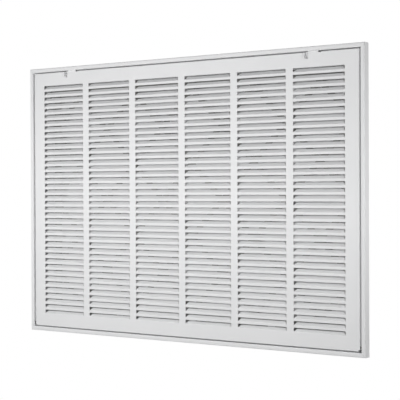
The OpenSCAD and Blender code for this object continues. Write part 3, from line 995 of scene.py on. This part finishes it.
@dataclass
class PleatedFilter:
    """The filter: pleated fleece on bent wires, between the two halves of its card frame."""

    pleat_pitch: float = 18.1 * MM
    pleat_roundness: float = 0.985
    fleece: float = 1.2 * MM
    wire: float = 0.8 * MM
    wire_sides: int = 6
    wire_pitch: float = 50 * MM
    points_per_pleat: int = 12
    columns: int = 90
    crinkle: float = 1.2 * MM
    crinkle_size: float = 35 * MM
    crinkle_detail: float = 2.0
    crinkle_roughness: float = 0.6
    fleece_sharp_angle: float = math.radians(170)
    wire_sharp_angle: float = math.radians(80)
    card_edge_radius: float = 0.12 * MM
    cloth: type[Finish] = NeedledFleece
    card: type[Finish] = DieCutCard
    zinc: type[Finish] = ZincPlate

    def __post_init__(self) -> None:
        """Takes the pleats' place from the fleece's CAD box."""
        low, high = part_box("filter_media")
        self.half_width, self.half_height = high.x, high.z
        pleats = round((high.z - low.z) / self.pleat_pitch)
        self.grid_rows = pleats * self.points_per_pleat + 1
        self.middle = (low.y + high.y) / 2
        self.places = {
            "Foot": -self.half_height,
            "Pitch": (high.z - low.z) / pleats,
            "Middle": self.middle,
            "Swing": (high.y - low.y - self.fleece) / 2,
            "Rows": self.grid_rows,
        }

    def pleated(self, tree: ShapeTree, geometry: Node, lean: Node | float = 0.0) -> Node:
        """Bends an upright geometry into the pleats' rounded zigzag.

        Args:
            tree: The tree that bends it, which gets inputs for the first crest's height, the distance from
                one pleat to the next, and the zigzag's middle and half depth in y.
            geometry: The node that gives the flat geometry.
            lean: How far down the pleats are shifted, at each point.

        Returns:
            The node that gives the bent geometry.
        """
        foot, pitch, middle, swing = tree.inputs("Float", "Foot", "Pitch", "Middle", "Swing")
        spot = tree.add("GeometryNodeInputPosition")
        x, _, z = tree.add("ShaderNodeSeparateXYZ", (spot,)).outputs
        depth = z
        for operation, *values in (
            ("ADD", lean),
            ("SUBTRACT", foot),
            ("DIVIDE", pitch),
            ("MULTIPLY", 2 * math.pi),
            ("COSINE",),
            ("MULTIPLY", self.pleat_roundness),
            ("ARCSINE",),
            ("DIVIDE", math.asin(self.pleat_roundness)),
            ("MULTIPLY_ADD", swing, middle),
        ):
            depth = tree.add("ShaderNodeMath", (depth, *values), operation=operation)
        bent = tree.add("ShaderNodeCombineXYZ", (x, depth, z))
        return tree.add("GeometryNodeSetPosition", {"Geometry": geometry, "Position": bent})

    def fleece_tree(self) -> ShapeTree:
        """Makes the tree that folds an upright grid into crinkled pleats.

        Returns:
            The tree.
        """
        tree = ShapeTree("pleated_sheet")
        sizes = tree.inputs("Float", "Width", "Height")
        crinkle, crinkle_size = tree.inputs("Float", "Crinkle", "Crinkle Size")
        counts = tree.inputs("Int", "Columns", "Rows")
        spot = tree.add("GeometryNodeInputPosition")
        scale = tree.add("ShaderNodeMath", (1.0, crinkle_size), operation="DIVIDE")
        cloud = {"Detail": self.crinkle_detail, "Roughness": self.crinkle_roughness}
        lean = tree.add("ShaderNodeTexNoise", {"Vector": spot, "Scale": scale, **cloud})
        for operation, value in (("SUBTRACT", 0.5), ("MULTIPLY", 2.0), ("MULTIPLY", crinkle)):
            lean = tree.add("ShaderNodeMath", (lean, value), operation=operation)
        grid = tree.add("GeometryNodeMeshGrid", (*sizes, *counts))
        sheet = tree.add("GeometryNodeTransform", {"Geometry": grid, "Rotation": STOOD_UP})
        tree.end(self.pleated(tree, sheet, lean), self.fleece_sharp_angle)
        return tree

    def wire_tree(self) -> ShapeTree:
        """Makes the tree that bends a wire along the pleats and repeats it across the width.

        Returns:
            The tree.
        """
        tree = ShapeTree("support_wires")
        height, pitch, radius = tree.inputs("Float", "Height", "Wire Pitch", "Wire Radius")
        rows, count = tree.inputs("Int", "Rows", "Count")
        ends = []
        for part in (-0.5, 0.5):
            end = tree.add("ShaderNodeMath", (height, part), operation="MULTIPLY")
            ends.append(tree.add("ShaderNodeCombineXYZ", {"Z": end}))
        line = tree.add("GeometryNodeCurvePrimitiveLine", ends)
        fine = tree.add("GeometryNodeResampleCurve", {"Curve": line, "Count": rows})
        ring = tree.add("GeometryNodeCurvePrimitiveCircle", {"Resolution": self.wire_sides, "Radius": radius})
        tube = {"Curve": self.pleated(tree, fine), "Profile Curve": ring, "Fill Caps": True}
        wire = tree.add("GeometryNodeCurveToMesh", tube)
        first = count
        for operation, value in (("SUBTRACT", 1.0), ("MULTIPLY", pitch), ("MULTIPLY", -0.5)):
            first = tree.add("ShaderNodeMath", (first, value), operation=operation)
        start, step = (tree.add("ShaderNodeCombineXYZ", {"X": across}) for across in (first, pitch))
        row = {"Count": count, "Start Location": start, "Offset": step}
        points = tree.add("GeometryNodeMeshLine", row)
        copies = tree.add("GeometryNodeInstanceOnPoints", {"Points": points, "Instance": wire})
        tree.end(copies, self.wire_sharp_angle)
        return tree

    def build(self) -> list[Object]:
        """Builds and dresses the fleece, wires and cards.

        Returns:
            The pieces.
        """
        fleece = mesh_object("pleated_fleece", [], [])
        sizes = {"Width": 2 * self.half_width, "Height": 2 * self.half_height, "Columns": self.columns}
        sizes |= {"Crinkle": self.crinkle, "Crinkle Size": self.crinkle_size}
        sizes |= {"Material": self.cloth.material()}
        self.fleece_tree().put_on(fleece, self.places | sizes)
        wall = fleece.modifiers.new("fleece", "SOLIDIFY")
        wall.thickness = self.fleece
        wall.offset = 0.0
        bake_modifiers(fleece)
        low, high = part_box("filter_wires")
        wires = mesh_object("support_wires", [], [])
        count = round((high.x - low.x - self.wire) / self.wire_pitch) + 1
        middle = self.middle + (self.fleece + self.wire) / 2
        sizes = {"Height": high.z - low.z, "Count": count, "Middle": middle, "Wire Radius": self.wire / 2}
        sizes |= {"Wire Pitch": self.wire_pitch, "Material": self.zinc.material()}
        self.wire_tree().put_on(wires, self.places | sizes)
        bake_modifiers(wires)
        pieces = [
            dress(fleece, self.cloth, Body.FRAME, "filter_media"),
            dress(wires, self.zinc, Body.FRAME, "filter_wires"),
        ]
        for face in ("front", "back"):
            names = f"card_{face}", f"filter_{face}_card"
            pieces.append(dressed_copy(*names, self.card_edge_radius, self.card, Body.FRAME))
        return pieces


# ---- camera, points and studio ----


@dataclass
class ViewCamera:
    """The camera of the reference view."""

    position: Point = (1.4538, -1.9797, 0.0201)
    yaw: float = math.radians(35.63)
    pitch: float = math.radians(-0.48)
    roll: float = math.radians(-0.25)
    lens: float = 109.22
    sensor_width: float = 36.0
    clip_range: tuple[float, float] = (0.05, 100.0)

    def __post_init__(self) -> None:
        """Works out the camera's turn, whose columns point right, up and back."""
        spins = ((self.yaw, "Z"), (math.pi / 2 + self.pitch, "X"), (self.roll, "Z"))
        yaw, tilt, roll = (Matrix.Rotation(angle, 3, axis) for angle, axis in spins)
        self.turn = yaw @ tilt @ roll

    def build(self) -> None:
        """Makes the camera and sets it as the scene's."""
        data = bpy.data.cameras.new("reference_view")
        data.sensor_fit = "AUTO"
        data.sensor_width = self.sensor_width
        data.lens = self.lens
        data.clip_start, data.clip_end = self.clip_range
        camera = bpy.data.objects.new("reference_view", data)
        bpy.context.scene.collection.objects.link(camera)
        camera.matrix_world = Matrix.Translation(self.position) @ self.turn.to_4x4()
        bpy.context.scene.camera = camera

    def project(self, point: Vector) -> tuple[float, float]:
        """Finds the image point where a place shows.

        Args:
            point: The place.

        Returns:
            Its x and y in the image.
        """
        right, up, back = (point - Vector(self.position)) @ self.turn
        scale = -IMAGE_SIDE * self.lens / self.sensor_width / back
        return IMAGE_SIDE / 2 + right * scale, IMAGE_SIDE / 2 - up * scale


@dataclass
class PointReport:
    """Compares where things show with the named image points."""

    camera: ViewCamera
    door: LouvredDoor
    tab_depth: float = 1.0 * MM
    slot_line_drop: float = 1.4 * MM
    front_pull: float = 2.0

    def places(self, pieces: dict[str, Object]) -> dict[str, tuple[float, float]]:
        """Finds where each named thing shows.

        Args:
            pieces: The finished pieces by name.

        Returns:
            The image point of each.
        """
        door, project = self.door, self.camera.project
        shown = [project(v.co) for p in pieces.values() for v in p.data.vertices]
        rim = [v.co for name in ("top_rail", "bottom_rail") for v in pieces[name].data.vertices]
        found = {
            "object_left": (min(x for x, _ in shown), 0.0),
            "object_right": (max(x for x, _ in shown), 0.0),
            "object_top": (0.0, min(y for _, y in shown)),
            "object_bottom": (0.0, max(y for _, y in shown)),
        }
        for row, up in (("top", 1), ("bottom", -1)):
            for side, out in (("left", -1), ("right", 1)):
                corner = max(rim, key=lambda c: out * c.x + up * c.z - self.front_pull * c.y)
                found[f"rim_corner_{row}_{side}"] = project(corner)
        for side, left in zip([side.value for side in Side], door.notch_lefts):
            slider = [v.co for v in pieces[f"slider_{side}"].data.vertices]
            front = min(c.y for c in slider) + self.tab_depth
            tab = [c for c in slider if c.y < front]
            found[f"finger_tab_{side}"] = project(sum(tab, Vector((0.0, 0.0, 0.0))) / len(tab))
            keeper_end = max(v.co.x for v in pieces[f"keeper_{side}"].data.vertices)
            gap_x = (keeper_end + left + door.notch_length) / 2
            found[f"notch_gap_{side}"] = project(Vector((gap_x, door.face_y, door.half_height)))
        for column in (1, door.columns):
            x = (column - (door.columns + 1) / 2) * door.column_pitch
            for row, way in (("first", 1), ("last", -1)):
                middle = way * (door.rows - 1) / 2 * door.row_pitch
                z = middle + door.slot_height / 2 - self.slot_line_drop
                found[f"{row}_slot_column_{column}"] = project(Vector((x, door.face_y, z)))
        seam = Vector((door.half_width, door.face_y, -door.half_height))
        found["seam_corner_bottom_right"] = project(seam)
        return found

    def write(self, pieces: dict[str, Object]) -> None:
        """Logs how far each named point is from where its thing shows.

        Args:
            pieces: The finished pieces by name.
        """
        report = {}
        found = self.places(pieces)
        for name, (x, y) in IMAGE_POINTS.items():
            at_x, at_y = found[name]
            report[name] = {
                "point": [x, y],
                "x_off": None if x is None else round(at_x - x, 2),
                "y_off": None if y is None else round(at_y - y, 2),
            }
            LOG.info("%s is off by %s, %s", name, report[name]["x_off"], report[name]["y_off"])


@dataclass(frozen=True)
class Lamp:
    """A soft rectangular lamp that faces the object."""

    name: str
    place: Point
    width: float
    height: float
    power: float

    def build(self) -> None:
        """Adds the lamp, which the camera doesn't see."""
        data = bpy.data.lights.new(self.name, "AREA")
        data.shape = "RECTANGLE"
        data.size, data.size_y = self.width, self.height
        data.energy = self.power
        light = bpy.data.objects.new(self.name, data)
        light.location = self.place
        light.rotation_euler = (-Vector(self.place)).to_track_quat("-Z", "Y").to_euler()
        light.visible_camera = False
        bpy.context.scene.collection.objects.link(light)


# A key on the right, a fill on the left, strips level with the middle, one at the side and one behind
LAMPS = (
    Lamp("key_lamp", (1.67, -0.97, 0.52), 0.5, 0.5, 7.5),
    Lamp("fill_lamp", (-0.97, -1.67, 0.52), 0.5, 0.5, 10.0),
    Lamp("front_strip", (0.0, -0.7, 0.0), 1.4, 0.1, 2.95),
    Lamp("left_strip", (-0.6, -0.6, 0.0), 0.8, 0.1, 0.55),
    Lamp("side_lamp", (0.85, 0.03, 0.0), 0.12, 0.12, 0.75),
    Lamp("back_lamp", (0.0, 1.6, 0.3), 1.5, 1.5, 20.0),
)


@dataclass
class Studio:
    """A pale floor, a white surround and soft lamps."""

    floor_drop: float = 0.3
    floor_radius: float = 12.0
    floor_sides: int = 96
    floor_colour: str = "#DADAD8"
    floor_roughness: float = 0.9
    near_radius: float = 0.5
    far_radius: float = 1.0
    ambient: float = 0.06
    lamps: tuple[Lamp, ...] = LAMPS

    @staticmethod
    def seen_by(graph: NodeGraph, *rays: str) -> Node:
        """Adds a test of the ray that meets a surface.

        Args:
            graph: The nodes of the surface or the world.
            rays: Kinds of ray, such as Camera.

        Returns:
            The node that gives 1 for a ray of one of those kinds and 0 for any other.
        """
        path = graph.add("ShaderNodeLightPath")
        found, *others = (path.outputs[f"Is {ray} Ray"] for ray in rays)
        for other in others:
            found = graph.add("ShaderNodeMath", (found, other), operation="MAXIMUM")
        return found

    def world(self) -> None:
        """Makes a world that lights softly and shows as white to the camera, in gloss and through glass."""
        world = bpy.data.worlds.new("white_surround")
        world.use_nodes = True
        graph = NodeGraph(world.node_tree)
        graph.tree.nodes.clear()
        soft, white = (
            graph.add("ShaderNodeBackground", {"Color": WHITE, "Strength": strength})
            for strength in (self.ambient, 1.0)
        )
        shown = self.seen_by(graph, "Camera", "Glossy", "Transmission")
        mix = graph.add("ShaderNodeMixShader", (shown, soft, white))
        graph.add("ShaderNodeOutputWorld", {"Surface": mix})
        bpy.context.scene.world = world

    def floor(self) -> None:
        """Makes the pale floor, which keeps the shadow near the object and melts into white far from it."""
        low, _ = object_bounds()
        turns = [2 * math.pi * i / self.floor_sides for i in range(self.floor_sides)]
        wide, height = self.floor_radius, low.z - self.floor_drop
        ring = [(wide * math.cos(a), wide * math.sin(a), height) for a in turns]
        floor = mesh_object("studio_floor", ring, [range(self.floor_sides)])
        paint = Surface("pale_floor")
        level = paint.add("ShaderNodeMapping", {"Vector": paint.spot, "Scale": (1.0, 1.0, 0.0)})
        reach = paint.add("ShaderNodeVectorMath", (level,), operation="LENGTH").outputs["Value"]
        melting = {"Value": reach, "From Min": self.near_radius, "From Max": self.far_radius}
        far = paint.add("ShaderNodeMapRange", melting, interpolation_type="SMOOTHSTEP")
        shown = self.seen_by(paint, "Camera", "Glossy")
        share = paint.add("ShaderNodeMath", (shown, far), operation="MULTIPLY")
        white = paint.add("ShaderNodeEmission", {"Color": WHITE, "Strength": 1.0})
        mix = paint.add("ShaderNodeMixShader", (share, paint.shader, white))
        paint.feed(paint.tree.nodes["Material Output"], {"Surface": mix})
        matt = {"Roughness": self.floor_roughness, "Specular IOR Level": 0.0}
        paint.feed(paint.shader, {"Base Color": linear(self.floor_colour), **matt})
        floor.data.materials.append(paint.material)
        floor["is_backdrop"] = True

    def build(self) -> None:
        """Builds the studio."""
        self.world()
        self.floor()
        for lamp in self.lamps:
            lamp.build()


def main() -> None:
    """Builds the dressed grille, its studio and its camera."""
    logging.basicConfig(level=logging.INFO, format="%(message)s")
    cad_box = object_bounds()
    bpy.context.scene.view_settings.view_transform = "Standard"
    door = LouvredDoor()
    pieces = MitredFrame().build()
    pieces.append(Rivets("angle_rivets", "corner_rivets").build())
    pieces += Hinge().build()
    pieces.append(door.build())
    pieces += SlidingLatch(Side.LEFT).build()
    pieces += SlidingLatch(Side.RIGHT).build()
    pieces.append(Rivets("keeper_rivet_pairs", "keeper_rivets").build())
    pieces += PleatedFilter().build()
    camera = ViewCamera()
    camera.build()
    Studio().build()
    PointReport(camera, door).write({piece.name: piece for piece in pieces})
    boxes = {"cad": cad_box, "visual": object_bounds()}
    {name: [list(corner) for corner in box] for name, box in boxes.items()}


if __name__ == "__main__":
    main()
